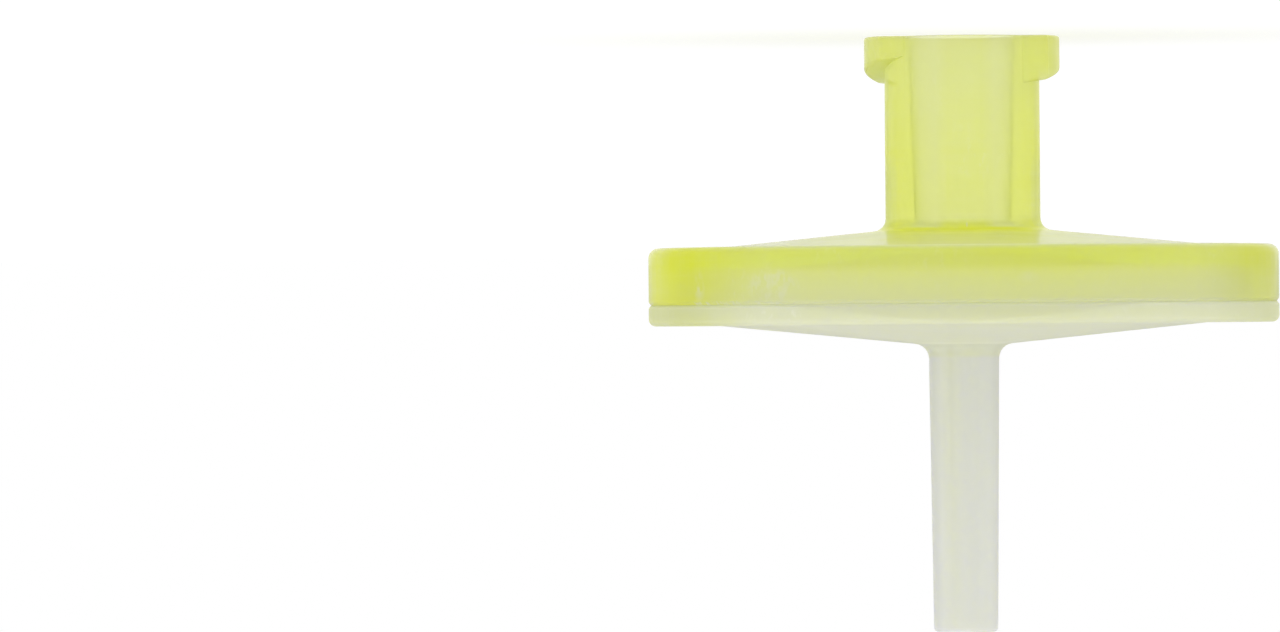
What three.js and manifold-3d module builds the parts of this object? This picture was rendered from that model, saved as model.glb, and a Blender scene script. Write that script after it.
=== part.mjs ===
// A disc syringe filter: a flat membrane clamped between two moulded polypropylene housings that
// are welded together. The inlet housing has a female luer-lock hub, and the outlet housing ends
// in a plain tube.
//
// Units are millimetres. The filter stands on its inlet mouth, the widest end that it has: the
// origin is the centre of the mouth, and +Z points up from the inlet to the outlet. The luer lugs
// point along +X and -X.
//
// Both housings are turned about Z, so most of this file is profiles of (radius, height). Radii
// are worked outwards from the membrane. Heights are worked as the filter is used, with the outlet
// below: upwards from the tube's tip. The assembly turns the finished pieces over.

import * as THREE from "three";
import { mergeVertices } from "three/addons/utils/BufferGeometryUtils.js";
import Module from "manifold-3d";

const wasm = await Module();
wasm.setup();

// ---- Driving dimensions ------------------------------------------------------------------

// Membrane, and the chamber on each side of it
const MEMBRANE_RADIUS = 9.7;
const MEMBRANE_THICKNESS = 0.2;
const CLAMPED_EDGE = 0.8; // width of the membrane's rim that the housings grip

// Tongue-and-groove weld joint, and the outside of the disc
const TONGUE_WIDTH = 1.6;
const TONGUE_HEIGHT = 1.38; // above the parting line
const TONGUE_ROUNDING = 0.15;
const EDGE_CLEARANCE = 0.1; // between the membrane's edge and the tongue around it
const JOINT_CLEARANCE = 0.05; // beside the tongue, on each side
const SKIRT_WALL = 1.15; // the inlet housing's wall outside the groove
const GROOVE_ROOF = 0.9; // the inlet housing's wall above the tongue
const FLANGE_HEIGHT = 0.84; // the outlet housing's band below the parting line
const SEAT_HEIGHT = 0.54; // of the membrane's seat above the parting line
const RIM_ROUNDING = 0.4;
const FLANGE_ROUNDING = 0.3;
const PARTING_ROUNDING = 0.14; // leaves a V groove around the weld

// Inlet housing
const ROOF_WALL = 1.05;
const ROOF_RISE = 0.66; // from the rim to the hub
const COLLECTOR_WIDTH = 1.03; // ring channel outside the ribs
const COLLECTOR_DEPTH = 0.15;
const RIB_CLEARANCE = 0.1; // between the inlet ribs and the membrane

// Luer-lock hub: a 6 per cent taper inside, and two lugs of a double-start thread outside
const HUB_RADIUS = 3.1;
const HUB_HEIGHT = 7.71; // from the roof to the mouth
const HUB_FILLET = 0.5;
const LUER_MOUTH_RADIUS = 2.15;
const LUER_TAPER = 0.06; // loss of diameter for each unit of depth
const LUER_DEPTH = 7.5;
const MOUTH_ROUNDING = 0.12;
const ORIFICE_RADIUS = 1.1;
const LUG_REACH = 0.81; // beyond the hub
const LUG_WIDTH = 4;
const LUG_HEIGHT = 1.36; // at the middle of the lug
const LUG_ROUNDING = 0.15;
const THREAD_LEAD = 5;

// Outlet housing
const FLOOR_WALL = 1;
const FLOOR_DROP = 0.83; // from the flange to the tube
const TUBE_LENGTH = 11.49; // from the tip to the underside
const TUBE_ROOT_RADIUS = 1.41;
const TUBE_TIP_RADIUS = 1.28;
const TUBE_FILLET = 0.6;
const TIP_ROUNDING = 0.2;
const BORE_ROOT_RADIUS = 0.6;
const BORE_TIP_RADIUS = 0.5;

// Rings of ribs above and below the membrane, parted into sectors by straight channels. A ring is
// a gap away from the next, and none comes nearer to the axis than the open middle.
const SECTORS = 8;
const SECTOR_TURN = -3.4; // degrees, from +X to the middle of a sector
const CHANNEL_WIDTH = 0.72;
const RIB_ROOT = 0.25; // how far a rib runs into the wall that carries it
const INLET_RIBS = { margin: 0.62, width: 0.76, gap: 0.38, openMiddle: 2.9 };
const OUTLET_RIBS = { margin: 0.5, width: 0.6, gap: 0.6, openMiddle: 1.7 };

// Fineness of the round faces
const TURN_STEPS = 48;
const ARC_STEPS = 2;
const LUG_STEPS = 12;
const FILLET_STEP = THREE.MathUtils.degToRad(30);

// ---- Radii and heights that follow from them ----------------------------------------------

const chamberRadius = MEMBRANE_RADIUS - CLAMPED_EDGE;
const ribFieldRadius = chamberRadius - COLLECTOR_WIDTH;
const tongueInner = MEMBRANE_RADIUS + EDGE_CLEARANCE;
const tongueOuter = tongueInner + TONGUE_WIDTH;
const grooveInner = tongueInner - JOINT_CLEARANCE;
const grooveOuter = tongueOuter + JOINT_CLEARANCE;
const discRadius = grooveOuter + SKIRT_WALL;
const lugRadius = HUB_RADIUS + LUG_REACH;
const luerFloorRadius = LUER_MOUTH_RADIUS - (LUER_TAPER / 2) * LUER_DEPTH;

const flangeBottom = TUBE_LENGTH + FLOOR_DROP;
const partingLine = flangeBottom + FLANGE_HEIGHT;
const seatLevel = partingLine + SEAT_HEIGHT;
const membraneTop = seatLevel + MEMBRANE_THICKNESS;
const tongueTop = partingLine + TONGUE_HEIGHT;
const rimTop = tongueTop + GROOVE_ROOF;
const roofTop = rimTop + ROOF_RISE;
const hubTop = roofTop + HUB_HEIGHT;
const luerFloor = hubTop - LUER_DEPTH;

// The disc's two faces are shallow cones that start above and below the tongue's inner side. The
// chamber's ceiling and floor follow them, a wall further in.
const roofSlope = ROOF_RISE / (tongueInner - HUB_RADIUS);
const floorSlope = FLOOR_DROP / (tongueInner - TUBE_ROOT_RADIUS);
const ceilingAt = (r) => rimTop + roofSlope * (tongueInner - r) - ROOF_WALL;
const floorAt = (r) => flangeBottom - floorSlope * (tongueInner - r) + FLOOR_WALL;

// ---- Profiles and solids ------------------------------------------------------------------

// A corner of a profile, and the radius that rounds it.
const corner = (radius, height, rounding = 0) => ({
  at: new THREE.Vector2(radius, height),
  rounding,
});

// The points of one corner: an arc tangent to both edges, which shrinks where half an edge is too
// short for it.
function cornerPoints(previous, { at, rounding }, next) {
  const back = previous.at.clone().sub(at);
  const ahead = next.at.clone().sub(at);
  const halfAngle = back.angleTo(ahead) / 2;
  const room = Math.min(back.length(), ahead.length()) / 2;
  const tangent = Math.min(rounding / Math.tan(halfAngle), room);
  if (tangent === 0) return [at];
  back.normalize();
  ahead.normalize();
  const toCentre = tangent / Math.cos(halfAngle);
  const centre = back.clone().add(ahead).normalize().multiplyScalar(toCentre).add(at);
  const start = back.clone().multiplyScalar(tangent).add(at);
  const turn = (Math.PI - 2 * halfAngle) * Math.sign(ahead.cross(back));
  const steps = Math.max(1, Math.ceil(Math.abs(turn) / FILLET_STEP));
  return Array.from({ length: steps + 1 }, (_, step) =>
    start.clone().rotateAround(centre, (turn * step) / steps),
  );
}

// The outline through the corners, with each corner rounded.
const outlineOf = (corners) =>
  corners.flatMap((each, i) =>
    cornerPoints(corners.at(i - 1), each, corners[(i + 1) % corners.length]),
  );

// A closed outline of (radius, height) turned about Z.
function turned(corners) {
  const outline = outlineOf(corners);
  return new THREE.LatheGeometry([...outline, outline[0]], TURN_STEPS).rotateX(Math.PI / 2);
}

// A closed geometry as a solid that can be joined and cut.
function solidOf(geometry) {
  const bare = geometry.clone();
  bare.deleteAttribute("normal");
  bare.deleteAttribute("uv");
  const merged = mergeVertices(bare, 1e-4);
  const vertProperties = merged.attributes.position.array;
  const triVerts = new Uint32Array(merged.index.array);
  return new wasm.Manifold(new wasm.Mesh({ numProp: 3, vertProperties, triVerts }));
}

// A solid as a geometry again.
function geometryOf(solid) {
  const { vertProperties, triVerts } = solid.getMesh();
  const geometry = new THREE.BufferGeometry();
  geometry.setAttribute("position", new THREE.BufferAttribute(vertProperties, 3));
  geometry.setIndex(new THREE.BufferAttribute(triVerts, 1));
  geometry.computeVertexNormals();
  return geometry;
}

// A housing is one moulding. It is handed over as two solids, parted where its connector meets the
// disc, because a slender connector and a wide disc need different collision pieces. The two share
// their whole face at that level, so nothing is lost or added. Gives [above, below].
const partedAt = (level, solid) => solid.splitByPlane([0, 0, 1], level).map(geometryOf);

// ---- Ribs ---------------------------------------------------------------------------------

// A bar with round ends, bent to an arc about Z that is centred on +X and halfSpan to each side.
function ribBar(radius, width, halfSpan, bottom, top) {
  const half = width / 2;
  const bend = halfSpan - half / radius;
  const end = [radius * Math.cos(bend), radius * Math.sin(bend)];
  const outline = new THREE.Shape();
  outline.absarc(0, 0, radius + half, -bend, bend, false);
  outline.absarc(end[0], end[1], half, bend, bend + Math.PI, false);
  outline.absarc(0, 0, radius - half, bend, -bend, true);
  outline.absarc(end[0], -end[1], half, Math.PI - bend, 2 * Math.PI - bend, false);
  const settings = { depth: top - bottom, curveSegments: ARC_STEPS, bevelEnabled: false };
  return new THREE.ExtrudeGeometry(outline, settings).translate(0, 0, bottom);
}

// The ribs of one side, ring by ring inwards. levelsAt gives a ring's bottom and top.
function ribField({ margin, width, gap, openMiddle }, fieldRadius, levelsAt) {
  const bars = [];
  const outermost = fieldRadius - margin - width / 2;
  for (let radius = outermost; radius - width / 2 > openMiddle; radius -= width + gap) {
    const halfSpan = Math.PI / SECTORS - CHANNEL_WIDTH / 2 / radius;
    for (let sector = 0; sector < SECTORS; sector += 1) {
      const angle = THREE.MathUtils.degToRad(SECTOR_TURN) + (2 * Math.PI * sector) / SECTORS;
      bars.push(ribBar(radius, width, halfSpan, ...levelsAt(radius)).rotateZ(angle));
    }
  }
  return bars;
}

// ---- Luer lugs ----------------------------------------------------------------------------

// The room above one turn of the thread: an outline of (radius, height) swept about Z around +X,
// which climbs with the thread. Caps close its two ends.
function threadSweep(corners, halfSpan) {
  const outline = outlineOf(corners);
  const count = outline.length;
  const positions = [];
  const faces = [];
  for (let step = 0; step <= LUG_STEPS; step += 1) {
    const angle = halfSpan * ((2 * step) / LUG_STEPS - 1);
    const climb = (THREAD_LEAD * angle) / (2 * Math.PI);
    for (const { x: radius, y: height } of outline) {
      positions.push(radius * Math.cos(angle), radius * Math.sin(angle), height + climb);
    }
  }
  for (let step = 0; step < LUG_STEPS; step += 1) {
    for (let i = 0; i < count; i += 1) {
      const here = step * count + i;
      const beside = step * count + ((i + 1) % count);
      faces.push(here, beside + count, beside, here, here + count, beside + count);
    }
  }
  const last = LUG_STEPS * count;
  for (const [a, b, c] of THREE.ShapeUtils.triangulateShape(outline, [])) {
    faces.push(a, b, c, last + a, last + c, last + b);
  }
  const geometry = new THREE.BufferGeometry();
  geometry.setAttribute("position", new THREE.Float32BufferAttribute(positions, 3));
  geometry.setIndex(faces);
  return geometry;
}

// The lug on the +X side: the mouth's disc, kept where it is above the thread and within the
// lug's width. Its top is level with the mouth, and its underside is a ramp.
function luerLug() {
  const core = LUER_MOUTH_RADIUS + (HUB_RADIUS - LUER_MOUTH_RADIUS) / 2;
  const underside = hubTop - LUG_HEIGHT;
  const above = hubTop + LUG_HEIGHT;
  const disc = turned([
    corner(core, underside - LUG_HEIGHT),
    corner(lugRadius, underside - LUG_HEIGHT),
    corner(lugRadius, hubTop, MOUTH_ROUNDING),
    corner(core, hubTop),
  ]);
  const halfSpan = Math.asin(LUG_WIDTH / 2 / core);
  const overThread = threadSweep(
    [
      corner(core, underside),
      corner(lugRadius, underside, LUG_ROUNDING),
      corner(lugRadius, above),
      corner(core, above),
    ],
    halfSpan,
  );
  const sides = new THREE.BoxGeometry(lugRadius, LUG_WIDTH, 4 * LUG_HEIGHT);
  sides.translate(lugRadius / 2, 0, hubTop);
  return solidOf(disc).intersect(solidOf(overThread)).intersect(solidOf(sides));
}

// ---- The pieces ---------------------------------------------------------------------------

function inletHousing() {
  const ceiling = ceilingAt(ribFieldRadius);
  const collectorCeiling = (r) => ceilingAt(r) + COLLECTOR_DEPTH;
  let housing = solidOf(
    turned([
      corner(ORIFICE_RADIUS, ceilingAt(ORIFICE_RADIUS)),
      corner(ribFieldRadius, ceiling),
      corner(ribFieldRadius, collectorCeiling(ribFieldRadius)),
      corner(chamberRadius, collectorCeiling(chamberRadius)),
      corner(chamberRadius, membraneTop),
      corner(grooveInner, membraneTop),
      corner(grooveInner, tongueTop),
      corner(grooveOuter, tongueTop),
      corner(grooveOuter, partingLine),
      corner(discRadius, partingLine, PARTING_ROUNDING),
      corner(discRadius, rimTop, RIM_ROUNDING),
      corner(tongueInner, rimTop),
      corner(HUB_RADIUS, roofTop, HUB_FILLET),
      corner(HUB_RADIUS, hubTop, MOUTH_ROUNDING),
      corner(LUER_MOUTH_RADIUS, hubTop, MOUTH_ROUNDING),
      corner(luerFloorRadius, luerFloor),
      corner(ORIFICE_RADIUS, luerFloor),
    ]),
  );
  const levelsAt = (r) => [membraneTop + RIB_CLEARANCE, ceilingAt(r) + RIB_ROOT];
  for (const bar of ribField(INLET_RIBS, ribFieldRadius, levelsAt)) {
    housing = housing.add(solidOf(bar));
  }
  const lug = luerLug();
  return housing.add(lug).add(lug.rotate([0, 0, 180]));
}

function outletHousing() {
  let housing = solidOf(
    turned([
      corner(BORE_TIP_RADIUS, 0),
      corner(TUBE_TIP_RADIUS, 0, TIP_ROUNDING),
      corner(TUBE_ROOT_RADIUS, TUBE_LENGTH, TUBE_FILLET),
      corner(tongueInner, flangeBottom),
      corner(discRadius, flangeBottom, FLANGE_ROUNDING),
      corner(discRadius, partingLine, PARTING_ROUNDING),
      corner(tongueOuter, partingLine),
      corner(tongueOuter, tongueTop, TONGUE_ROUNDING),
      corner(tongueInner, tongueTop, TONGUE_ROUNDING),
      corner(tongueInner, seatLevel),
      corner(chamberRadius, seatLevel),
      corner(chamberRadius, floorAt(chamberRadius)),
      corner(BORE_ROOT_RADIUS, floorAt(BORE_ROOT_RADIUS)),
    ]),
  );
  const levelsAt = (r) => [floorAt(r) - RIB_ROOT, seatLevel];
  for (const bar of ribField(OUTLET_RIBS, chamberRadius, levelsAt)) {
    housing = housing.add(solidOf(bar));
  }
  return housing;
}

// The membrane, from its underside up.
function membraneDisc() {
  return new THREE.CylinderGeometry(
    MEMBRANE_RADIUS,
    MEMBRANE_RADIUS,
    MEMBRANE_THICKNESS,
    TURN_STEPS,
  )
    .rotateX(Math.PI / 2)
    .translate(0, 0, MEMBRANE_THICKNESS / 2);
}

// ---- Assembly -----------------------------------------------------------------------------

function piece(name, geometry, color, roughness) {
  const material = new THREE.MeshStandardMaterial({ color, roughness, metalness: 0 });
  const mesh = new THREE.Mesh(geometry, material);
  mesh.name = name;
  return mesh;
}

const [inletHub, inletDisc] = partedAt(luerFloor, inletHousing());
const [outletDisc, outletTube] = partedAt(TUBE_LENGTH, outletHousing());

const filter = new THREE.Group();
const membrane = piece("membrane", membraneDisc(), 0xf4f4ee, 0.8);
membrane.position.z = seatLevel;
filter.add(
  piece("inlet_hub", inletHub, 0xd6e36a, 0.25),
  piece("inlet_housing", inletDisc, 0xd6e36a, 0.25),
  piece("outlet_housing", outletDisc, 0xdfe2d2, 0.25),
  piece("outlet_tube", outletTube, 0xdfe2d2, 0.25),
  membrane,
);
filter.rotation.y = Math.PI;
filter.position.z = hubTop;

export default filter;
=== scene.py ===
# %% [markdown]
# # A disc filter for a syringe
# Two polypropylene mouldings, one dyed yellow and one left natural, are welded together over a
# white membrane. The plastic is milky: light goes in, wanders about and comes out again, and a
# thin wall still shows what lies behind it. Each moulding could be dressed by giving its packed
# solid a material, but facets show in a smooth plastic. So each one is made again as a smooth
# turned surface that is inside as well as out, because the inside shows through.
#
# The filter stands on the mouth of its inlet hub. Heights go up from the mouth to the tube's tip.

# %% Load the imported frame
import math

import bmesh
import bpy
import numpy as np
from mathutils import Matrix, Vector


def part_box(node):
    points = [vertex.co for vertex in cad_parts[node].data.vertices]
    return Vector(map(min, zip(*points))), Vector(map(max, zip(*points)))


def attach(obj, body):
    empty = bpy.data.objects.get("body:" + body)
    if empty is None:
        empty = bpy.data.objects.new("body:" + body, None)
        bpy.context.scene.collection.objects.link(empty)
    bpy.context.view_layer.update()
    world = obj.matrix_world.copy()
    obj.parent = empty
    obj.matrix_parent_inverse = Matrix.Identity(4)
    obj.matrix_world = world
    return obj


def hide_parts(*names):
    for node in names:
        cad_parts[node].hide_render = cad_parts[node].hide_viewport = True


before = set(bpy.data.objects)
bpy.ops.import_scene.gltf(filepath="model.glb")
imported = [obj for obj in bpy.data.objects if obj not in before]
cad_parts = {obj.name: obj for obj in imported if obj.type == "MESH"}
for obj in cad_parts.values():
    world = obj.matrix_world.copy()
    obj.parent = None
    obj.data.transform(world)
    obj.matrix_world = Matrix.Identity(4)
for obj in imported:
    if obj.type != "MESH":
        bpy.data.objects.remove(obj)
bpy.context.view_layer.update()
mm = 0.001
print("pieces in the frame:", sorted(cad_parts))

# %% [markdown]
# ## Where the frame puts things
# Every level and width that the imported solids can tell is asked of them, so the surfaces follow
# the frame if it changes. The rest are the mouldings' own walls, steps and slopes. Some of them are
# no part of the design: the hair of air that keeps two faces from lying in the same place, the seam,
# a small step that joins two stretches of a profile, the weld, which is the height of the lip that
# the yellow plastic makes over the natural one where they melt, and the shallow notch that stays
# open round the edge.

# %% Levels and widths
inlet_low, inlet_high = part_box("inlet_housing")
hub_low, hub_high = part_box("inlet_hub")
outlet_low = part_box("outlet_housing")[0]
tube_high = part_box("outlet_tube")[1]
sheet_low, sheet_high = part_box("membrane")

mouth, luer_floor, tip = hub_low.z, inlet_low.z, tube_high.z
tongue_end, parting = outlet_low.z, inlet_high.z
disc_radius, membrane_radius = inlet_high.x, sheet_high.x
shoulder = tongue_end - 0.9 * mm
roof_foot = shoulder - 0.66 * mm
flange_face = parting + 0.84 * mm
tube_foot = flange_face + 0.83 * mm
print("mouth to tip:", round((tip - mouth) / mm, 2), "mm, disc", round(2 * disc_radius / mm, 2), "mm")

# %% The hub, the chamber and the joint
hub_radius = 3.1 * mm
lug_radius = hub_high.x
orifice_radius = 1.1 * mm
chamber_radius = membrane_radius - 0.8 * mm
rib_field_radius = chamber_radius - 1.03 * mm
tongue_inner = membrane_radius + 0.1 * mm
tongue_outer = tongue_inner + 1.6 * mm
roof_slope = (shoulder - roof_foot) / (tongue_inner - hub_radius)
tube_root_radius = 1.41 * mm
cone_slope = (tube_foot - flange_face) / (tongue_inner - tube_root_radius)
air = 0.01 * mm
seam = 0.02 * mm
weld = 0.05 * mm
notch_radius = disc_radius - 0.1 * mm
notch_rise = 0.12 * mm


def ceiling_at(radius):
    """Height of the inlet chamber's ceiling: the roof's own slope, one wall further in."""
    return shoulder - roof_slope * (tongue_inner - radius) + 1.05 * mm


def floor_at(radius):
    """Height of the outlet chamber's floor: the cone's own slope, one wall further in."""
    return flange_face + cone_slope * (tongue_inner - radius) - 1.0 * mm

# %% [markdown]
# ## Profiles with soft corners
# A moulding has no dead sharp edge, and on glossy plastic it is the small rounding of an edge that
# catches the light. A Bevel modifier could round the mesh afterwards. Here the corners are rounded
# in the profile itself, before it is turned, so each one gets its own radius.

# %% Round the corners of a profile


def soft_profile(*corners, steps=6):
    """Points along an open chain of (radius, height, rounding) corners. A corner becomes an arc
    that touches both of its edges: with half the corner's angle h, it starts rounding / tan(h)
    from the corner, and its points sweep evenly between the two directions from its centre."""
    chain = np.array(corners, float)
    at, rounding = chain[1:-1, :2], chain[1:-1, 2]
    back, ahead = chain[:-2, :2] - at, chain[2:, :2] - at
    room = np.minimum(np.hypot(*back.T), np.hypot(*ahead.T)) / 2
    back /= np.hypot(*back.T)[:, None]
    ahead /= np.hypot(*ahead.T)[:, None]
    half = np.arccos(np.clip((back * ahead).sum(1), -1, 1)) / 2
    tangent = np.minimum(rounding / np.tan(half), room)
    middle = (back + ahead) / np.hypot(*(back + ahead).T)[:, None]
    centre = at + middle * (tangent / np.cos(half))[:, None]
    start = at + back * tangent[:, None] - centre
    end = at + ahead * tangent[:, None] - centre
    turn = (np.pi - 2 * half)[:, None, None]
    t = np.linspace(0, 1, steps + 1)[None, :, None]
    sweep = (np.sin((1 - t) * turn) * start[:, None] + np.sin(t * turn) * end[:, None]) / np.sin(turn)
    arcs = (centre[:, None] + sweep).reshape(-1, 2)
    return np.vstack([chain[:1, :2], arcs, chain[-1:, :2]])


def filled(points, spacing=0.35 * mm):
    """The chain with its long edges cut into equal parts no longer than the spacing."""
    step = np.diff(points, axis=0)
    parts = np.maximum(1, np.ceil(np.hypot(*step.T) / spacing)).astype(int)
    edge = np.repeat(np.arange(len(parts)), parts)
    share = (np.arange(len(edge)) - np.repeat(np.cumsum(parts) - parts, parts)) / parts[edge]
    return np.vstack([points[edge] + step[edge] * share[:, None], points[-1:]])


print("a chain with one corner gets", len(soft_profile((0, 0, 0), (1, 0, 0.2), (1, 1, 0))), "points")

# %% [markdown]
# ## Turning a profile
# Both mouldings are turned about one axis, so each is a grid that closes both ways: its rows run
# round the axis, and its columns run along the profile, over the outside and back through the
# inside. Only the ribs and the lugs differ from column to column.

# %% Make a closed grid into a piece
columns = 384
sector = math.radians(45)
sector_turn = math.radians(3.4)
same_place = 0.0002 * mm
column_angle = sector_turn + 2 * np.pi * np.arange(columns) / columns


def rows_of(points):
    """Radius and height grids of a chain of profile points, the same in every column."""
    ones = np.ones(columns)
    return points[:, :1] * ones, points[:, 1:] * ones


def merge_points(mesh, distance):
    """Make one point of those that lie together, so faces that have no area are gone."""
    merged = bmesh.new()
    merged.from_mesh(mesh)
    bmesh.ops.remove_doubles(merged, verts=merged.verts, dist=distance)
    merged.to_mesh(mesh)
    merged.free()


def turned_piece(name, radius, height):
    """A closed mesh over a grid of rows and columns. Its points are (radius cos a, radius sin a,
    height), with a the column's angle. The sign of the profile's area, the sum of
    r dz - z dr, says which way it runs, and the rows are put in the order that faces outwards."""
    profile_r, profile_z = radius[:, 0], height[:, 0]
    area = np.sum(profile_r * np.roll(profile_z, -1) - profile_z * np.roll(profile_r, -1))
    if area > 0:
        radius, height = radius[::-1], height[::-1]
    across, along = radius * np.cos(column_angle), radius * np.sin(column_angle)
    points = np.stack([across, along, height], -1).reshape(-1, 3)
    i, j = np.indices(radius.shape)
    next_i, next_j = (i + 1) % radius.shape[0], (j + 1) % columns
    quads = [i * columns + j, next_i * columns + j, next_i * columns + next_j, i * columns + next_j]
    mesh = bpy.data.meshes.new(name)
    mesh.from_pydata(points, [], np.stack(quads, -1).reshape(-1, 4))
    merge_points(mesh, same_place)
    mesh.polygons.foreach_set("use_smooth", np.ones(len(mesh.polygons), bool))
    mesh.set_sharp_from_angle(angle=math.radians(32))
    piece = bpy.data.objects.new(name, mesh)
    bpy.context.scene.collection.objects.link(piece)
    print(name, "has", radius.shape[0], "rows and", len(mesh.vertices), "points")
    return piece


print("columns round the axis:", columns)

# %% [markdown]
# ## Rings of ribs
# Ribs carry the membrane on both sides and leave channels for the liquid. They are rings, cut by
# eight straight radial channels, and each rib ends in a half round. Cutting them from a solid would
# leave a rough mesh. Here the ceiling and the floor simply rise where a point lies inside a rib.

# %% How far a point is inside a rib
channel_width = 0.72 * mm
rib_wall = 0.06 * mm


def rib_radii(outermost, width, gap, innermost):
    """Middle radii of the rings, from the outermost inwards, one width and one gap apart."""
    count = math.ceil((outermost - width - innermost) / (width + gap))
    return outermost - width / 2 - np.arange(count) * (width + gap)


def rib_depth(radius, ring_radius, width):
    """How deep each point lies in the ribs of one ring. Within a sector a rib is an arc with round
    ends, so the depth is half its width less the distance to the nearest point of its middle
    arc."""
    local = (column_angle - sector_turn + sector / 2) % sector - sector / 2
    half_arc = sector / 2 - (channel_width + width) / 2 / ring_radius
    nearest = np.clip(local, -half_arc, half_arc)
    across = radius * np.cos(local) - ring_radius * np.cos(nearest)
    along = radius * np.sin(local) - ring_radius * np.sin(nearest)
    return width / 2 - np.hypot(across, along)


def ribbed_rows(rings, width, inner, outer, base_height, rib_height):
    """Radius and height grids of a ribbed face. The height passes from the base to the rib's top
    by the smooth step 3 s^2 - 2 s^3, over a thin slanting wall at each rib's edge."""
    offsets = np.array([-width / 2 - rib_wall / 2, -width / 2, -width / 2 + rib_wall / 2, 0])
    marks = (rings[:, None] + np.concatenate([offsets, -offsets[:3]])).ravel()
    marks = np.unique(np.concatenate([[inner, outer], marks[(marks > inner) & (marks < outer)]]))
    radius = marks[:, None] * np.ones(columns)
    depth = np.max([rib_depth(radius, ring, width) for ring in rings], axis=0)
    share = np.clip(0.5 + depth / rib_wall, 0, 1)
    share = share**2 * (3 - 2 * share)
    return radius, base_height(radius) * (1 - share) + rib_height * share


print("channels between the ribs:", round(channel_width / mm, 2), "mm wide")

# %% [markdown]
# ## The yellow inlet moulding
# It starts inside, with the ribbed ceiling that spreads the liquid over the membrane. Then come the
# skirt with its groove, which takes the other moulding's tongue, and the outside of the disc, which
# slopes in to the hub. Two rims that only meet would show a dark gap between them, and a welded
# joint has none. So at the bottom of the notch the yellow rim laps over the other moulding by the
# height of the weld, and the notch's two slopes lead out from there, one on each moulding.

# %% Its ceiling, groove, rim and roof
inlet_rib = 0.76 * mm
inlet_rings = rib_radii(rib_field_radius - 0.62 * mm, inlet_rib, 0.38 * mm, 2.9 * mm)
ceiling = ribbed_rows(
    inlet_rings, inlet_rib, orifice_radius, rib_field_radius, ceiling_at, sheet_low.z - 0.1 * mm
)
collector = ceiling_at(chamber_radius) - 0.15 * mm
lip_width = 0.2 * mm
shoulder_rounding = 0.4 * mm
past_lugs = 3.2 * mm
disc_outline = soft_profile(
    (rib_field_radius, collector, 0),
    (chamber_radius, collector, 0.08 * mm),
    (chamber_radius, sheet_low.z - air, 0.02 * mm),
    (tongue_inner - 0.05 * mm, sheet_low.z - air, 0.02 * mm),
    (tongue_inner - 0.05 * mm, tongue_end - air, 0.03 * mm),
    (tongue_outer + 0.05 * mm, tongue_end - air, 0.03 * mm),
    (tongue_outer + 0.05 * mm, parting - air, 0.03 * mm),
    (notch_radius - lip_width - 0.1 * mm, parting - air, 0.02 * mm),
    (notch_radius - lip_width, parting + weld, 0.02 * mm),
    (notch_radius, parting + air, 0.01 * mm),
    (disc_radius, parting - notch_rise, 0.1 * mm),
    (disc_radius, shoulder, shoulder_rounding),
    (tongue_inner, shoulder, 1.2 * mm),
    (hub_radius, roof_foot, 0.5 * mm),
    (hub_radius, past_lugs, 0),
)
print("ribs in", len(inlet_rings), "rings under the roof")

# %% [markdown]
# The hub's two lugs are pieces of a double thread, which a syringe's collar draws in. A lug is as
# wide as a flat cut 4 mm across, so its sides are straight lines, and its upper edge climbs round
# the hub with the thread's lead. Both come from the angle of the column alone.

# %% Its lugs
lug_half_width = 2 * mm
lug_height = 1.36 * mm
thread_lead = 5 * mm
lug_rounding = 0.15 * mm
mouth_rounding = 0.12 * mm
with np.errstate(divide="ignore"):
    reach = np.clip(lug_half_width / np.abs(np.sin(column_angle)), hub_radius, lug_radius)
lugness = (reach - hub_radius) / (lug_radius - hub_radius)
turn_from_lug = 0.5 * np.arcsin(np.sin(2 * column_angle))
lug_edge = mouth + lug_height + thread_lead * turn_from_lug / (2 * np.pi)


def lug_rows():
    """Radius and height grids of the hub's end. From the hub, rows go out along the lug's upper
    face to its reach, round its edge, down its side and round the mouth's outer edge."""
    out = np.linspace(0, 1, 5)[:, None]
    bend = np.linspace(0, np.pi / 2, 6)[:, None]
    down = np.linspace(0.2, 0.8, 4)[:, None]
    corner = lug_rounding * lugness
    face = hub_radius + (reach - corner - hub_radius) * out, lug_edge + 0 * out
    edge = reach - corner * (1 - np.sin(bend)), lug_edge - lug_rounding * (1 - np.cos(bend))
    foot = mouth + mouth_rounding
    side = reach + 0 * down, (lug_edge - lug_rounding) * (1 - down) + foot * down
    lip = reach - mouth_rounding * (1 - np.cos(bend)), foot - mouth_rounding * np.sin(bend) + 0 * reach
    parts = face, edge, side, lip
    return np.vstack([part[0] for part in parts]), np.vstack([part[1] for part in parts])


hub_end = lug_rows()
print("lugs reach", round(lug_radius / mm, 2), "mm from the axis")

# %% [markdown]
# The bore is the female luer cone, which narrows by 6 per cent down to a flat floor, and a short
# orifice leads on into the chamber.

# %% Its bore, and the whole moulding
mouth_ring_radius = 2.6 * mm
luer_mouth_radius = 2.15 * mm
luer_floor_radius = luer_mouth_radius - 0.03 * (luer_floor - mouth)
bore_outline = soft_profile(
    (mouth_ring_radius, mouth, 0),
    (luer_mouth_radius, mouth, 0.12 * mm),
    (luer_floor_radius, luer_floor, 0.12 * mm),
    (orifice_radius, luer_floor, 0.06 * mm),
    (orifice_radius, ceiling_at(orifice_radius) - seam, 0),
)
inlet_parts = [ceiling, rows_of(filled(disc_outline)), hub_end, rows_of(filled(bore_outline))]
inlet_radius = np.vstack([part[0] for part in inlet_parts])
inlet_height = np.vstack([part[1] for part in inlet_parts])
inlet = turned_piece("inlet_shell", inlet_radius, inlet_height)

# %% [markdown]
# ## The natural outlet moulding
# It is turned in the same way. The tongue runs round the membrane's seat, the ribbed floor leads to
# the bore, and outside a flat cone carries the tube, which tapers a little to its tip.

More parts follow.
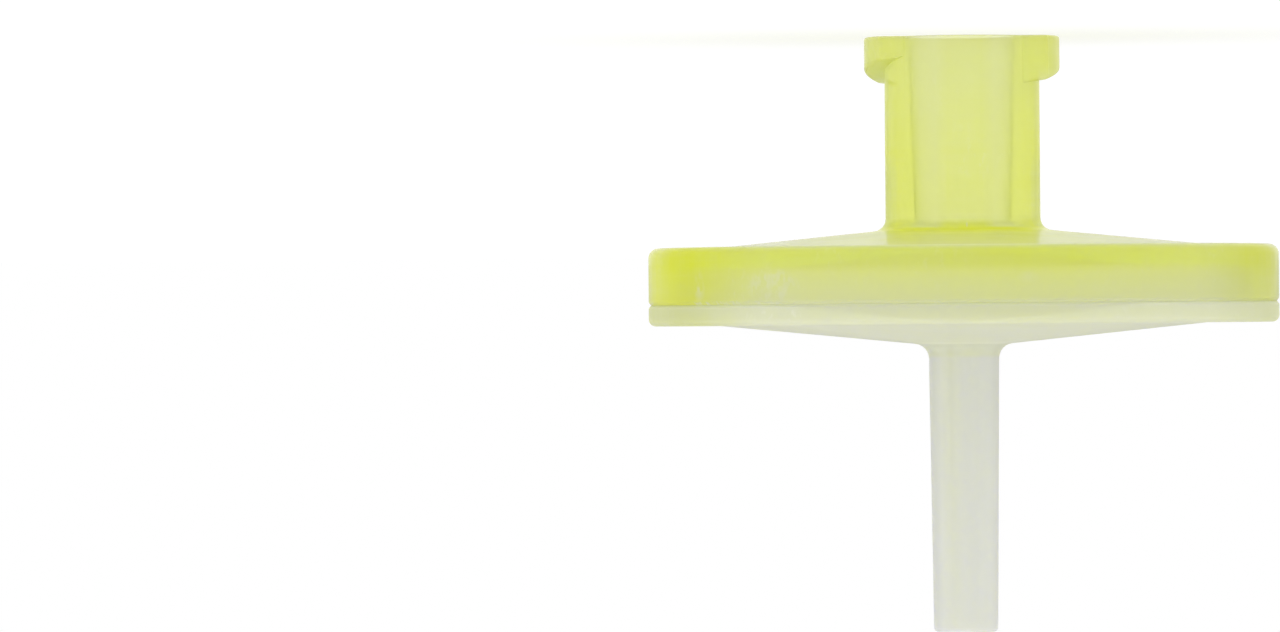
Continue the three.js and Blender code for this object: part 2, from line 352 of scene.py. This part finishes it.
# %% Its outside, its floor, and the whole moulding
outlet_rib = 0.6 * mm
bore_root, bore_tip = 0.6 * mm, 0.5 * mm
tip_radius = 1.28 * mm
tube_outline = soft_profile(
    (bore_root, floor_at(bore_root), 0),
    (bore_tip, tip, 0.06 * mm),
    (tip_radius, tip, 0.2 * mm),
    (tube_root_radius, tube_foot, 0.6 * mm),
    (tongue_inner, flange_face, 1.2 * mm),
    (disc_radius, flange_face, 0.28 * mm),
    (disc_radius, parting + notch_rise, 0.1 * mm),
    (notch_radius, parting, 0.01 * mm),
    (tongue_outer, parting, 0.02 * mm),
    (tongue_outer, tongue_end, 0.15 * mm),
    (tongue_inner, tongue_end, 0.15 * mm),
    (tongue_inner, sheet_high.z + air, 0.02 * mm),
    (chamber_radius, sheet_high.z + air, 0.02 * mm),
    (chamber_radius, floor_at(chamber_radius) - seam, 0),
)
outlet_rings = rib_radii(chamber_radius - 0.5 * mm, outlet_rib, 0.6 * mm, 1.7 * mm)
channel_floor = ribbed_rows(
    outlet_rings, outlet_rib, bore_root, chamber_radius, floor_at, sheet_high.z + air
)
outlet_parts = [rows_of(filled(tube_outline)), [grid[::-1] for grid in channel_floor]]
outlet_radius = np.vstack([part[0] for part in outlet_parts])
outlet_height = np.vstack([part[1] for part in outlet_parts])
outlet = turned_piece("outlet_shell", outlet_radius, outlet_height)

# %% [markdown]
# ## The membrane
# A plain white sheet, 0.2 mm thick, held at its edge between the two mouldings. It is set a hair
# back from them on both faces, so that no two surfaces lie in the same place.

# %% Its sheet
sheet_outline = soft_profile(
    (0, sheet_low.z + 2 * air, 0),
    (membrane_radius, sheet_low.z + 2 * air, 0.04 * mm),
    (membrane_radius, sheet_high.z - 2 * air, 0.04 * mm),
    (0, sheet_high.z - 2 * air, 0),
)
membrane = turned_piece("membrane_sheet", *rows_of(filled(sheet_outline, 1 * mm)))

# %% [markdown]
# ## How deep the colour looks
# The dye is even all through the moulding, but a thick place looks deeper in colour than a thin one
# and lets less light through. Light that wanders through the whole of a solid could be traced, but
# that takes far too many bounces. So each point gets three numbers that the material reads: a tint,
# from 0 for a thin wall to 1 for solid plastic, a clearness, the share of light that goes straight
# through, and a shade, which is painted shade: at 1 the colour stays as it is, and below it darkens.

# %% Where each point lies
def store(piece, name, values):
    """Store one number for each point under the name."""
    layer = piece.data.attributes.new(name, "FLOAT", "POINT")
    layer.data.foreach_set("value", values.astype(np.float32))


def polar_points(piece):
    """Radius, height and share along +X, the cosine of the angle, of each point of a piece."""
    flat = np.empty(3 * len(piece.data.vertices))
    piece.data.vertices.foreach_get("co", flat)
    x, y, z = flat.reshape(-1, 3).T
    return np.hypot(x, y), z, x / np.hypot(x, y)


def painted_end_depth(sideways):
    """How much painted shade deepens the colour at each end of the rim along X: two thirds at the end
    along +X, a little under half at the other, and 0 in between."""
    return np.interp(sideways, [-0.95, -0.75, 0.64, 0.86], [0.45, 0, 0, 0.66])


def at_edge(radius):
    """True for the outside of the disc's edge."""
    return radius > disc_radius - shoulder_rounding


def fused(radius, height):
    """True for the parting faces inside the rim, where the two mouldings are melted together."""
    inside_rim = (radius > tongue_outer) & (radius < notch_radius - seam)
    return inside_rim & (abs(height - parting) < 0.03 * mm)


def outside_notch(radius, height):
    """0 at the bottom of the notch round the edge, growing to 1 at its rims and beyond."""
    from_bottom = np.interp(radius, [notch_radius, disc_radius], [0, 1])
    at_joint = abs(height - parting) < notch_rise + seam
    return np.where(at_joint & (radius > notch_radius - seam), from_bottom, 1)


inlet_points = polar_points(inlet)
outlet_points = polar_points(outlet)
print("points to dye:", len(inlet_points[0]), "and", len(outlet_points[0]))

# %% [markdown]
# The rim is pale beside the weld and deeper towards the shoulder, where solid plastic lies behind
# it, with a pale line along its rounded edge. The roof is deepest round the hub's foot and palest
# over the groove, where the natural tongue shows through it. The hub gets deeper from its mouth to
# its foot, because its bore narrows and its wall grows. Its two sides along X are painted deeper,
# for the light that crosses the most wall there, and a painted highlight runs down it as a pale
# streak on each side of its middle. The rim's two ends are painted deeper too.

# %% Tint the yellow moulding
rim_depths = np.array([-0.02, 0, 0.1, 0.5, 1.0, 1.3, 1.55, 2.12, 2.2, 2.28])
rim_tints = np.array([0.1, 0.1, 0.14, 0.18, 0.28, 0.38, 0.54, 0.57, 0.25, 0.1])
roof_radii = np.array([3.1, 3.9, 4.5, 9.6, 9.9, 12.2])
roof_tints = np.array([0.78, 0.8, 0.65, 0.42, 0.2, 0.12])
hub_heights = np.array([0, 3, 5.5, 7.3, 7.5, 7.8, 8.4])
hub_tints = np.array([0.36, 0.5, 0.69, 0.66, 0.66, 0.7, 0.78])
side_places = np.array([0.22, 0.38, 0.56, 0.72, 0.88])
painted_side_depths_and_highlights = np.array([1, 0.45, 0.45, 0.88, 1.35])
bore_wall_radius = 2.5 * mm
thin_wall_tint, ceiling_tint = 0.1, 0.5


def inlet_tint(radius, height, sideways):
    """The rim goes by its distance from the parting line, the roof by its radius, and the hub by its
    height and its side. The ceiling and the groove have one tint, and the bore another."""
    rim = np.interp(parting - height, rim_depths * mm, rim_tints)
    # Painted shade makes the rim's colour deeper at its two ends along X.
    rim += (1 - rim) * painted_end_depth(sideways)
    roof = np.interp(radius, roof_radii * mm, roof_tints)
    hub = np.interp(height, hub_heights * mm, hub_tints)
    # Painted: the hub is deeper at its sides along X, with a pale painted highlight on each side of
    # its middle.
    hub = hub * np.interp(abs(sideways), side_places, painted_side_depths_and_highlights)
    tint = np.where(at_edge(radius), rim, roof)
    tint = np.where(height < roof_foot - 0.1 * mm, hub, tint)
    inside_rim = (radius < tongue_outer + 0.1 * mm) & (height > shoulder + 0.2 * mm)
    tint = np.where(inside_rim, ceiling_tint, tint)
    return np.where(radius < bore_wall_radius, thin_wall_tint, tint)


store(inlet, "tint", inlet_tint(*inlet_points))
print("rim tints", rim_tints.min(), "to", rim_tints.max())

# %% [markdown]
# The hub is a thin sleeve, so most light goes through it, and nearly all of it through the skin of
# its bore. The disc is solid at its edge and holds ribs and a membrane inside, so it passes a third.
# Faces that are melted together have no skin at all and are left fully clear. The notch passes less
# the deeper it gets, and nothing at its bottom: a clear notch would show as a dark line.

# %% Its clearness and shade
clear_heights = np.array([0, 2, 6.2, 7.3, 7.6])
hub_clear = np.array([0.52, 0.58, 0.65, 0.68, 0.15])
bore_clear, disc_clear = 0.93, 0.35
# Levels of painted shade at the hub's mouth and on the roof.
mouth_painted_shade, roof_painted_shade = 0.93, 0.82
roof_start = 3.7 * mm


def inlet_clearness(radius, height):
    """The hub goes by its height, down to its solid foot, and the disc has one clearness."""
    hub = np.interp(height, clear_heights * mm, hub_clear)
    hub = np.where(radius < bore_wall_radius, bore_clear, hub)
    clearness = np.where(radius < lug_radius + 0.1 * mm, hub, disc_clear)
    clearness = clearness * outside_notch(radius, height)
    return np.where(fused(radius, height), 1, clearness)


def inlet_painted_shade(radius, height, sideways):
    """Painted shade, which darkens the colour: a little at the mouth, on the roof and most on its
    sides along X, at the rim's shoulder and at its ends. The inside of the disc is not darkened."""
    hub = np.interp(height, [mouth, 6 * mm], [mouth_painted_shade, 1.0])
    rim = np.interp(sideways, [-0.95, -0.7, 0.6, 0.9], [0.83, 1, 1, 0.94])
    rim *= np.interp(parting - height, [1.3 * mm, 2.1 * mm], [1, 0.93])
    roof = np.interp(radius, [roof_start, 5.5 * mm], [1, roof_painted_shade])
    roof = np.minimum(roof * np.interp(abs(sideways), [0.5, 0.9], [1.08, 0.86]), 1)
    shade = np.where(at_edge(radius), rim, roof)
    at_hub = (radius < roof_start) | (height < 3 * mm)
    inside_disc = (height > shoulder + 0.2 * mm) & (radius < 11.8 * mm)
    return np.where(at_hub | inside_disc, hub, shade)


store(inlet, "clearness", inlet_clearness(*inlet_points[:2]))
# The painted shade is stored as the number shade.
store(inlet, "shade", inlet_painted_shade(*inlet_points))
print("hub passes", hub_clear.max(), "and disc", disc_clear)

# %% [markdown]
# The natural moulding has no dye, but its disc lies against the yellow one and takes some of its
# light. That yellow light is painted into its colour: its tint says how much yellow is painted on,
# most at the joint, and in the tube only a faint streak. Its disc is milkier than the yellow one, and
# its tube is clearest at the foot.

# %% Tint the natural moulding
cone_clear, foot_clear, tip_clear = 0.2, 0.42, 0.22
tube_start = tube_foot + 0.5 * mm
tube_bore_wall_radius = 0.7 * mm


def outlet_painted_yellow(radius, height, sideways):
    """Painted yellow light from the yellow moulding: the disc's edge gets most, its cone less, and the
    tube only a faint streak on its side towards +X, which fades towards the tip."""
    disc = np.interp(height, [parting, flange_face, tube_foot], [0.5, 0.46, 0.42])
    # Painted shade makes the disc's edge deeper at its two ends along X.
    disc += (1 - disc) * 1.15 * painted_end_depth(sideways) * at_edge(radius)
    # A painted streak of yellow light runs down the tube.
    streak = np.interp(sideways, [0.05, 0.3, 0.55, 0.8], [0, 0.18, 0.18, 0])
    streak *= np.interp(height, [tube_start, tip], [1, 0.3])
    return np.where(height > tube_start, streak, disc)


def outlet_clearness(radius, height):
    """By height from the flange's face to the tube's tip, with a clear skin in the bore."""
    levels = [cone_clear, foot_clear, tip_clear]
    clearness = np.interp(height, [flange_face, tube_foot, tip], levels)
    clearness = np.where(radius < tube_bore_wall_radius, bore_clear, clearness)
    clearness = clearness * outside_notch(radius, height)
    return np.where(fused(radius, height), 1, clearness)


def outlet_painted_shade(radius, height, sideways):
    """Painted shade: a little darker at the edge's two ends, on the cone and towards the tube's tip.
    """
    ends = np.interp(sideways, [-0.95, -0.7, 0.7, 0.9], [0.94, 1, 1, 0.93])
    cone = np.interp(radius, [tube_root_radius + 0.3 * mm, 3 * mm], [1, 0.95])
    return ends * cone * np.interp(height, [tube_foot, tip], [1, 0.94])


store(outlet, "tint", outlet_painted_yellow(*outlet_points))
store(outlet, "clearness", outlet_clearness(*outlet_points[:2]))
# The painted shade is stored as the number shade.
store(outlet, "shade", outlet_painted_shade(*outlet_points))
print("points in the tube:", (outlet_points[1] > tube_start).sum())

# %% [markdown]
# ## Tools for the materials
# A node tree is a graph, and building one by hand takes four lines for each node. These helpers make
# a node, set what it needs and give back its result, so a material reads like a formula.

# %% Small helpers for node trees
def add_node(tree, kind, **settings):
    """A new node of the kind, with its own settings, such as its operation."""
    made = tree.nodes.new("ShaderNode" + kind)
    for name, value in settings.items():
        setattr(made, name, value)
    return made


def join(tree, source, target):
    """Link an output socket to an input socket."""
    tree.links.new(source, target)


def set_inputs(node, values):
    """Give a node's own inputs their constant values."""
    for name, value in values.items():
        node.inputs[name].default_value = value


def math_node(tree, operation, first, second, third=None):
    """A Math node on sockets or numbers, and its result."""
    made = add_node(tree, "Math", operation=operation)
    for socket, value in zip(made.inputs, (first, second, third)):
        if isinstance(value, bpy.types.NodeSocket):
            join(tree, value, socket)
        elif value is not None:
            socket.default_value = value
    return made.outputs[0]


def mix_colours(tree, share, first, second):
    """A Mix node between two colours or colour sockets, and its result."""
    made = add_node(tree, "Mix", data_type="RGBA")
    for name, value in (("Factor", share), ("A", first), ("B", second)):
        socket = next(s for s in made.inputs if s.name == name and s.enabled)
        if isinstance(value, bpy.types.NodeSocket):
            join(tree, value, socket)
        else:
            socket.default_value = value
    return next(s for s in made.outputs if s.enabled)


def colour_ramp(tree, value, stops):
    """A ColorRamp node through (position, colour) stops, and its result."""
    made = add_node(tree, "ValToRGB")
    elements = made.color_ramp.elements
    for number, (position, colour) in enumerate(stops):
        element = elements[number] if number < 2 else elements.new(1)
        element.position = position
        element.color = (*colour, 1)
    join(tree, value, made.inputs[0])
    return made.outputs[0]


def noise_node(tree, size, detail=2.0, stretch=(1, 1, 1)):
    """Noise on Object coordinates, with spots about as large as the size, and its result."""
    place = add_node(tree, "TexCoord")
    stretched = add_node(tree, "Mapping")
    set_inputs(stretched, {"Scale": stretch})
    noise = add_node(tree, "TexNoise")
    set_inputs(noise, {"Scale": 1 / size, "Detail": detail})
    join(tree, place.outputs["Object"], stretched.inputs["Vector"])
    join(tree, stretched.outputs["Vector"], noise.inputs["Vector"])
    return noise.outputs["Fac"]


def spread(tree, value, low, high, to_low, to_high):
    """Map Range from low..high to to_low..to_high, held at both ends."""
    made = add_node(tree, "MapRange")
    set_inputs(made, {"From Min": low, "From Max": high, "To Min": to_low, "To Max": to_high})
    join(tree, value, made.inputs["Value"])
    return made.outputs["Result"]


def attribute(tree, name):
    """The number that each point of the piece holds under the name."""
    return add_node(tree, "Attribute", attribute_name=name).outputs["Fac"]


print("helpers for node trees are ready")

# %% [markdown]
# ## Marks
# A moulding picks up marks as it is made, packed and handled: fine flecks nearly everywhere, scuffed
# places on the rim of each moulding, loose flecks along the weld, a smudge, and a short tick at the
# hub's foot. A painted picture could hold them, but it has to be wrapped on. Here each mark is a mask
# in space: an egg says where it is, and noise breaks it up.

# %% Marks that a moulding picks up


def patch(tree, centre, size, core=0.6):
    """1 at the middle of an egg whose half axes are the size in mm, and 0 from its skin outwards."""
    place = add_node(tree, "TexCoord")
    local = add_node(tree, "Mapping", vector_type="TEXTURE")
    set_inputs(local, {"Location": np.array(centre) * mm, "Scale": np.array(size) * mm})
    length = add_node(tree, "VectorMath", operation="LENGTH")
    join(tree, place.outputs["Object"], local.inputs["Vector"])
    join(tree, local.outputs["Vector"], length.inputs[0])
    return spread(tree, length.outputs["Value"], 1, core, 0, 1)


def highest(tree, masks):
    """The highest of several masks at each point."""
    top = masks[0]
    for mask in masks[1:]:
        top = math_node(tree, "MAXIMUM", top, mask)
    return top


def flecks(tree, size, cut, where):
    """Small spots, where noise of the size passes the cut, inside a mask."""
    spots = spread(tree, noise_node(tree, size, 2, (1, 1, 0.6)), cut, cut + 0.12, 0, 1)
    return math_node(tree, "MULTIPLY", spots, where)


def worn(tree):
    """Scattered flecks: they gather in loose clusters, wherever slow noise is high."""
    clusters = spread(tree, noise_node(tree, 2.5 * mm, 1), 0.55, 0.7, 0, 0.25)
    return flecks(tree, 0.2 * mm, 0.55, clusters)


def yellow_marks(tree):
    """Wear, scuffed places on the rim, loose flecks on the weld, a smudge and a tick at the foot.
    Centres and half axes are in mm."""
    wear = worn(tree)
    wide_scuff = patch(tree, (7.8, -9.9, 9.95), (1.3, 1.6, 0.75))
    thin_scuff = patch(tree, (10.6, -6.8, 10.0), (0.3, 0.6, 0.75), 0)
    scuffs = flecks(tree, 0.35 * mm, 0.45, math_node(tree, "MAXIMUM", wide_scuff, thin_scuff))
    on_weld = patch(tree, (9.4, -8.4, 10.62), (3.2, 4.5, 0.14))
    weld_flecks = flecks(tree, 0.3 * mm, 0.5, on_weld)
    smudge = patch(tree, (-2.1, -12.4, 9.67), (0.5, 0.5, 0.28), 0.2)
    faint_smudge = math_node(tree, "MULTIPLY", smudge, 0.4)
    tick = patch(tree, (-0.05, -3.1, 7.55), (0.05, 0.3, 0.14))
    return highest(tree, [wear, scuffs, weld_flecks, faint_smudge, tick])


def natural_marks(tree):
    """Wear, and two scuffed places on the rim. Centres and half axes are in mm."""
    narrow = patch(tree, (8.0, -9.73, 11.05), (0.3, 0.4, 0.22))
    wide = patch(tree, (7.0, -10.48, 11.1), (0.4, 0.45, 0.26))
    scuffs = flecks(tree, 0.3 * mm, 0.45, math_node(tree, "MAXIMUM", narrow, wide))
    return highest(tree, [worn(tree), scuffs])


print("marks are drawn by", yellow_marks.__name__, "and", natural_marks.__name__)

# %% [markdown]
# ## Milky plastic
# Glass and paint are the two easy ways to make a plastic, and polypropylene is neither. Most of its
# light is scattered just under the skin, which is what Subsurface does, and some goes straight
# through, which a Transparent shader adds. The clearness says how much. Less goes through at a flat
# angle, because more is turned back there: the share falls with the cube of Facing, which is 0
# head on and 1 at the very edge. Light that is already inside always has a way out, so a face seen
# from its back passes at least a third.
#
# The base colour is a ramp over the tint, made uneven by the slow swirls of the melt and by faint
# streaks, then darkened by the painted shade and paled by the marks. A thin Coat shines at flat
# angles only, where even dull plastic does, and patches of roughness and a fine bump break up the
# gloss.
# The volume takes light out along the way through a wall, mostly of the colours that the dye takes.

# %% Colour, skin and clearness
swirl_pale = 0.2
streak_stretch = 0.07
mark_white = (0.9, 0.91, 0.8, 1)
mark_cover, mark_roughness = 0.45, 0.25
coat_start, coat_full = 0.75, 0.92
turned_back, way_out = 0.9, 0.36


def dyed(tree, tints, mark):
    """The ramp at the tint, paler in the melt's swirls and streaks, then darkened by the painted shade
    and paled by the marks."""
    ramp = colour_ramp(tree, attribute(tree, "tint"), tints)
    upright = noise_node(tree, 0.6 * mm, 3, (1, 1, streak_stretch))
    level = noise_node(tree, 0.35 * mm, 3, (streak_stretch, streak_stretch, 1))
    streaks = math_node(tree, "MULTIPLY", upright, level)
    flow = math_node(tree, "ADD", noise_node(tree, 5 * mm), streaks)
    thinner = spread(tree, flow, 0.55, 0.95, 0.0, swirl_pale)
    colour = mix_colours(tree, thinner, ramp, (*tints[0][1], 1))
    # Painted shade: the shade number darkens the colour towards black.
    colour = mix_colours(tree, attribute(tree, "shade"), (0, 0, 0, 1), colour)
    return mix_colours(tree, math_node(tree, "MULTIPLY", mark, mark_cover), colour, mark_white)


def finish_skin(tree, shader, rough, coat, mark):
    """A coat at flat angles only, patchy roughness that the marks add to, and a fine bump."""
    flat_angle = add_node(tree, "LayerWeight").outputs["Facing"]
    shine = spread(tree, flat_angle, coat_start, coat_full, 0.0, coat)
    join(tree, shine, shader.inputs["Coat Weight"])
    patches = spread(tree, noise_node(tree, 1.5 * mm, 4), 0.3, 0.7, rough - 0.06, rough + 0.06)
    rougher = math_node(tree, "MULTIPLY_ADD", mark, mark_roughness, patches)
    join(tree, rougher, shader.inputs["Roughness"])
    bump = add_node(tree, "Bump")
    set_inputs(bump, {"Strength": 0.4, "Distance": 0.01 * mm})
    join(tree, noise_node(tree, 0.4 * mm, 3), bump.inputs["Height"])
    join(tree, bump.outputs["Normal"], shader.inputs["Normal"])


def share_through(tree):
    """The share of light that goes straight through. On the way in it is the clearness times
    1 - turned_back * Facing^3, and on the way out it is way_out or more."""
    bounced = math_node(tree, "POWER", add_node(tree, "LayerWeight").outputs["Facing"], 3)
    entering = math_node(tree, "MULTIPLY_ADD", bounced, -turned_back, 1)
    let_in = math_node(tree, "MULTIPLY", attribute(tree, "clearness"), entering)
    leaving = add_node(tree, "NewGeometry").outputs["Backfacing"]
    return math_node(tree, "MAXIMUM", let_in, math_node(tree, "MULTIPLY", leaving, way_out))


print("from inside, at least", way_out, "of the light gets out")

# %% The milky plastic itself
skin_ior = 1.49
milk = {
    "IOR": skin_ior,
    "Specular IOR Level": 0.25,
    "Subsurface Weight": 1.0,
    "Subsurface Radius": (1.0, 1.0, 0.5),
    "Subsurface Scale": 1 * mm,
    "Coat Roughness": 0.06,
    "Coat IOR": skin_ior,
}


def milky_plastic(name, tints, absorbed, density, rough, coat, marks):
    """A scattering plastic: coloured by its tint and shade, see-through by its clearness, with marks
    drawn by the function that is handed in."""
    material = bpy.data.materials.new(name)
    material.use_nodes = True
    tree = material.node_tree
    shader = tree.nodes["Principled BSDF"]
    set_inputs(shader, milk)
    mark = marks(tree)
    join(tree, dyed(tree, tints, mark), shader.inputs["Base Color"])
    finish_skin(tree, shader, rough, coat, mark)
    blend = add_node(tree, "MixShader")
    join(tree, share_through(tree), blend.inputs[0])
    join(tree, shader.outputs[0], blend.inputs[1])
    join(tree, add_node(tree, "BsdfTransparent").outputs[0], blend.inputs[2])
    volume = add_node(tree, "VolumeAbsorption")
    set_inputs(volume, {"Color": (*absorbed, 1), "Density": density})
    end = tree.nodes["Material Output"]
    join(tree, blend.outputs[0], end.inputs["Surface"])
    join(tree, volume.outputs[0], end.inputs["Volume"])
    return material


print("refraction of the skin:", skin_ior)

# %% [markdown]
# The yellow plastic takes nearly all the blue out of the light, and it shines a little at flat angles.
# The natural one takes out far less and is duller all over. The yellow ramp of colours starts with a
# thin wall and ends with solid plastic, and the natural one goes from no painted yellow light to
# the most.

# %% The two plastics
yellow_tints = ((0, (0.86, 0.885, 0.6)), (0.85, (0.87, 0.92, 0.03)), (1, (0.70, 0.75, 0.10)))
natural_tints = ((0, (0.83, 0.84, 0.8)), (0.4, (0.84, 0.86, 0.62)), (1, (0.72, 0.76, 0.30)))
yellow = milky_plastic(
    "yellow_polypropylene",
    yellow_tints,
    absorbed=(0.955, 0.98, 0.2),
    density=350,
    rough=0.36,
    coat=0.4,
    marks=yellow_marks,
)
natural = milky_plastic(
    "natural_polypropylene",
    natural_tints,
    absorbed=(0.95, 0.97, 0.85),
    density=60,
    rough=0.6,
    coat=0.0,
    marks=natural_marks,
)
print("made", yellow.name, "and", natural.name)

# %% [markdown]
# ## The membrane's finish
# A cast membrane is a fine, dull white sponge. Dull means rough, with no coat, and its pores are
# far too small to see, so only a faint unevenness is left.

# %% Membrane white
white = bpy.data.materials.new("membrane_white")
white.use_nodes = True
tree = white.node_tree
shader = tree.nodes["Principled BSDF"]
pores = noise_node(tree, 0.3 * mm, 5)
sponge = mix_colours(tree, pores, (0.86, 0.86, 0.83, 1), (0.94, 0.94, 0.91, 1))
join(tree, sponge, shader.inputs["Base Color"])
join(tree, spread(tree, pores, 0.3, 0.7, 0.8, 0.95), shader.inputs["Roughness"])
print("made", white.name)

# %% [markdown]
# ## Handing the pieces over
# The filter has no joints, so every piece rides on its one body. Each moulding was packed as two
# solids, a disc and a connector, and one smooth surface stands for both.

# %% Give the materials, ride and replace
inlet.data.materials.append(yellow)
outlet.data.materials.append(natural)
membrane.data.materials.append(white)
for piece, nodes, slot in (
    (inlet, ("inlet_housing", "inlet_hub"), "yellow_polypropylene"),
    (outlet, ("outlet_housing", "outlet_tube"), "natural_polypropylene"),
    (membrane, ("membrane",), "membrane"),
):
    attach(piece, "root")
    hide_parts(*nodes)
    print(piece.name, "stands for", ", ".join(nodes))

# %% [markdown]
# ## The camera
# The filter is drawn as it is used, with the hub at the top, though it stands on the hub. So the
# camera is turned over too, and leans by half a degree. It is far off and level, as for a catalogue
# picture, and a little to one side, which leaves the filter in the right half of the picture.

# %% Set the camera
scene = bpy.context.scene
camera_data = bpy.data.cameras.new("camera")
camera = bpy.data.objects.new("camera", camera_data)
scene.collection.objects.link(camera)
scene.camera = camera
distance = 400 * mm
view_width = 51.2 * mm
aside, under_tip = 12.95 * mm, 12.745 * mm
lean = 0.46
camera.location = (aside, -distance, tip - under_tip)
camera.rotation_euler = (math.radians(90), math.radians(180 + lean), 0)
camera_data.lens = camera_data.sensor_width * distance / view_width
camera_data.clip_start = 1 * mm
camera_data.clip_end = 10
print("lens", round(camera_data.lens), "mm")

# %% [markdown]
# ## The floor
# A light table: a pane of milky glass, lit from below. It lights the mouldings from the side of the
# hub, as a plain white floor would not, because the filter's own shadow lies there. A small share of
# its white is seen only by the camera, and by rays off or through the plastic, which brings it up to
# the white of the tent without more light on the filter. Dull grey paint on top keeps a soft shadow.

# %% Lay the light table


def seen_directly(tree):
    """1 for camera, glossy and transmission rays, and 0 for the rays that only carry light."""
    path = add_node(tree, "LightPath")
    glossy, through = path.outputs["Is Glossy Ray"], path.outputs["Is Transmission Ray"]
    indirect = math_node(tree, "MAXIMUM", glossy, through)
    return math_node(tree, "MAXIMUM", path.outputs["Is Camera Ray"], indirect)


half = 1500 * mm
floor_mesh = bpy.data.meshes.new("floor")
corners = [(-half, -half, 0), (half, -half, 0), (half, half, 0), (-half, half, 0)]
floor_mesh.from_pydata(corners, [], [(0, 1, 2, 3)])
floor = bpy.data.objects.new("floor", floor_mesh)
floor.location.z = mouth - air
scene.collection.objects.link(floor)

table_glow, seen_white = 0.62, 0.16
pane = bpy.data.materials.new("light_table")
pane.use_nodes = True
tree = pane.node_tree
paint = tree.nodes["Principled BSDF"]
set_inputs(paint, {"Base Color": (0.3, 0.3, 0.3, 1), "Roughness": 0.9, "Specular IOR Level": 0})
glow = add_node(tree, "Emission")
strength = math_node(tree, "MULTIPLY_ADD", seen_directly(tree), seen_white, table_glow)
join(tree, strength, glow.inputs["Strength"])
both = add_node(tree, "AddShader")
join(tree, paint.outputs[0], both.inputs[0])
join(tree, glow.outputs[0], both.inputs[1])
join(tree, both.outputs[0], tree.nodes["Material Output"].inputs["Surface"])
floor_mesh.materials.append(pane)
print("floor at", round(floor.location.z / mm, 2), "mm")

# %% [markdown]
# ## The light
# A white tent all round, near a strength of 1, at which a colour renders as it was mixed. Lamps
# would draw hard bright spots on the gloss. The wall in front of the filter and the wall at each side
# are at about full white, and the one behind is dimmer, because the plastic mirrors it at flat angles
# and would lose its colour at its outlines. Each level goes with the direction's Y, from -1 in front
# to 1 behind. The camera, and rays that pass through the plastic, see pure white instead.

# %% Hang the tent
walls = ((-1, 1.0), (-0.5, 1.12), (0.1, 1.02), (0.55, 0.6), (0.85, 0.6), (0.96, 0.6))
top_level = 0.9
top_reach = 0.6
side_tilt = 0.06


def tent_light(tree):
    """Strength by direction: the walls' level at its Y, times a level that goes from 1 at the
    horizon to the top's, times a slight rise towards +X. A ramp holds levels up to 1, so those of
    the walls are halved in it, and the next step doubles them."""
    direction = add_node(tree, "SeparateXYZ")
    join(tree, add_node(tree, "TexCoord").outputs["Generated"], direction.inputs[0])
    halved = [((facing + 1) / 2, (level / 2,) * 3) for facing, level in walls]
    wall = colour_ramp(tree, spread(tree, direction.outputs["Y"], -1, 1, 0, 1), halved)
    upper = spread(tree, direction.outputs["Z"], 0.0, top_reach, 2.0, 2.0 * top_level)
    sides = math_node(tree, "MULTIPLY_ADD", direction.outputs["X"], side_tilt, 1)
    return math_node(tree, "MULTIPLY", math_node(tree, "MULTIPLY", wall, upper), sides)


world = bpy.data.worlds.new("tent")
scene.world = world
world.use_nodes = True
tree = world.node_tree
path = add_node(tree, "LightPath")
camera_ray, through_ray = path.outputs["Is Camera Ray"], path.outputs["Is Transmission Ray"]
seen = add_node(tree, "Mix", data_type="FLOAT")
join(tree, math_node(tree, "MAXIMUM", camera_ray, through_ray), seen.inputs[0])
join(tree, tent_light(tree), seen.inputs[2])
seen.inputs[3].default_value = 1
background = tree.nodes["Background"]
background.inputs["Color"].default_value = (1, 1, 1, 1)
join(tree, seen.outputs[0], background.inputs["Strength"])
print("tent walls", walls)

# %% [markdown]
# ## How the light is counted
# Light crosses many milky skins before it comes out, so it gets far more bounces than a hard plastic
# needs. The Standard view keeps a colour as it was mixed, and a view made for films would grey the
# white tent.

# %% Set the view and the bounces
scene.view_settings.view_transform = "Standard"
scene.cycles.max_bounces = 32
scene.cycles.transmission_bounces = 32
scene.cycles.transparent_max_bounces = 32
scene.cycles.glossy_bounces = 8
scene.cycles.diffuse_bounces = 8
print("bounces", scene.cycles.max_bounces)
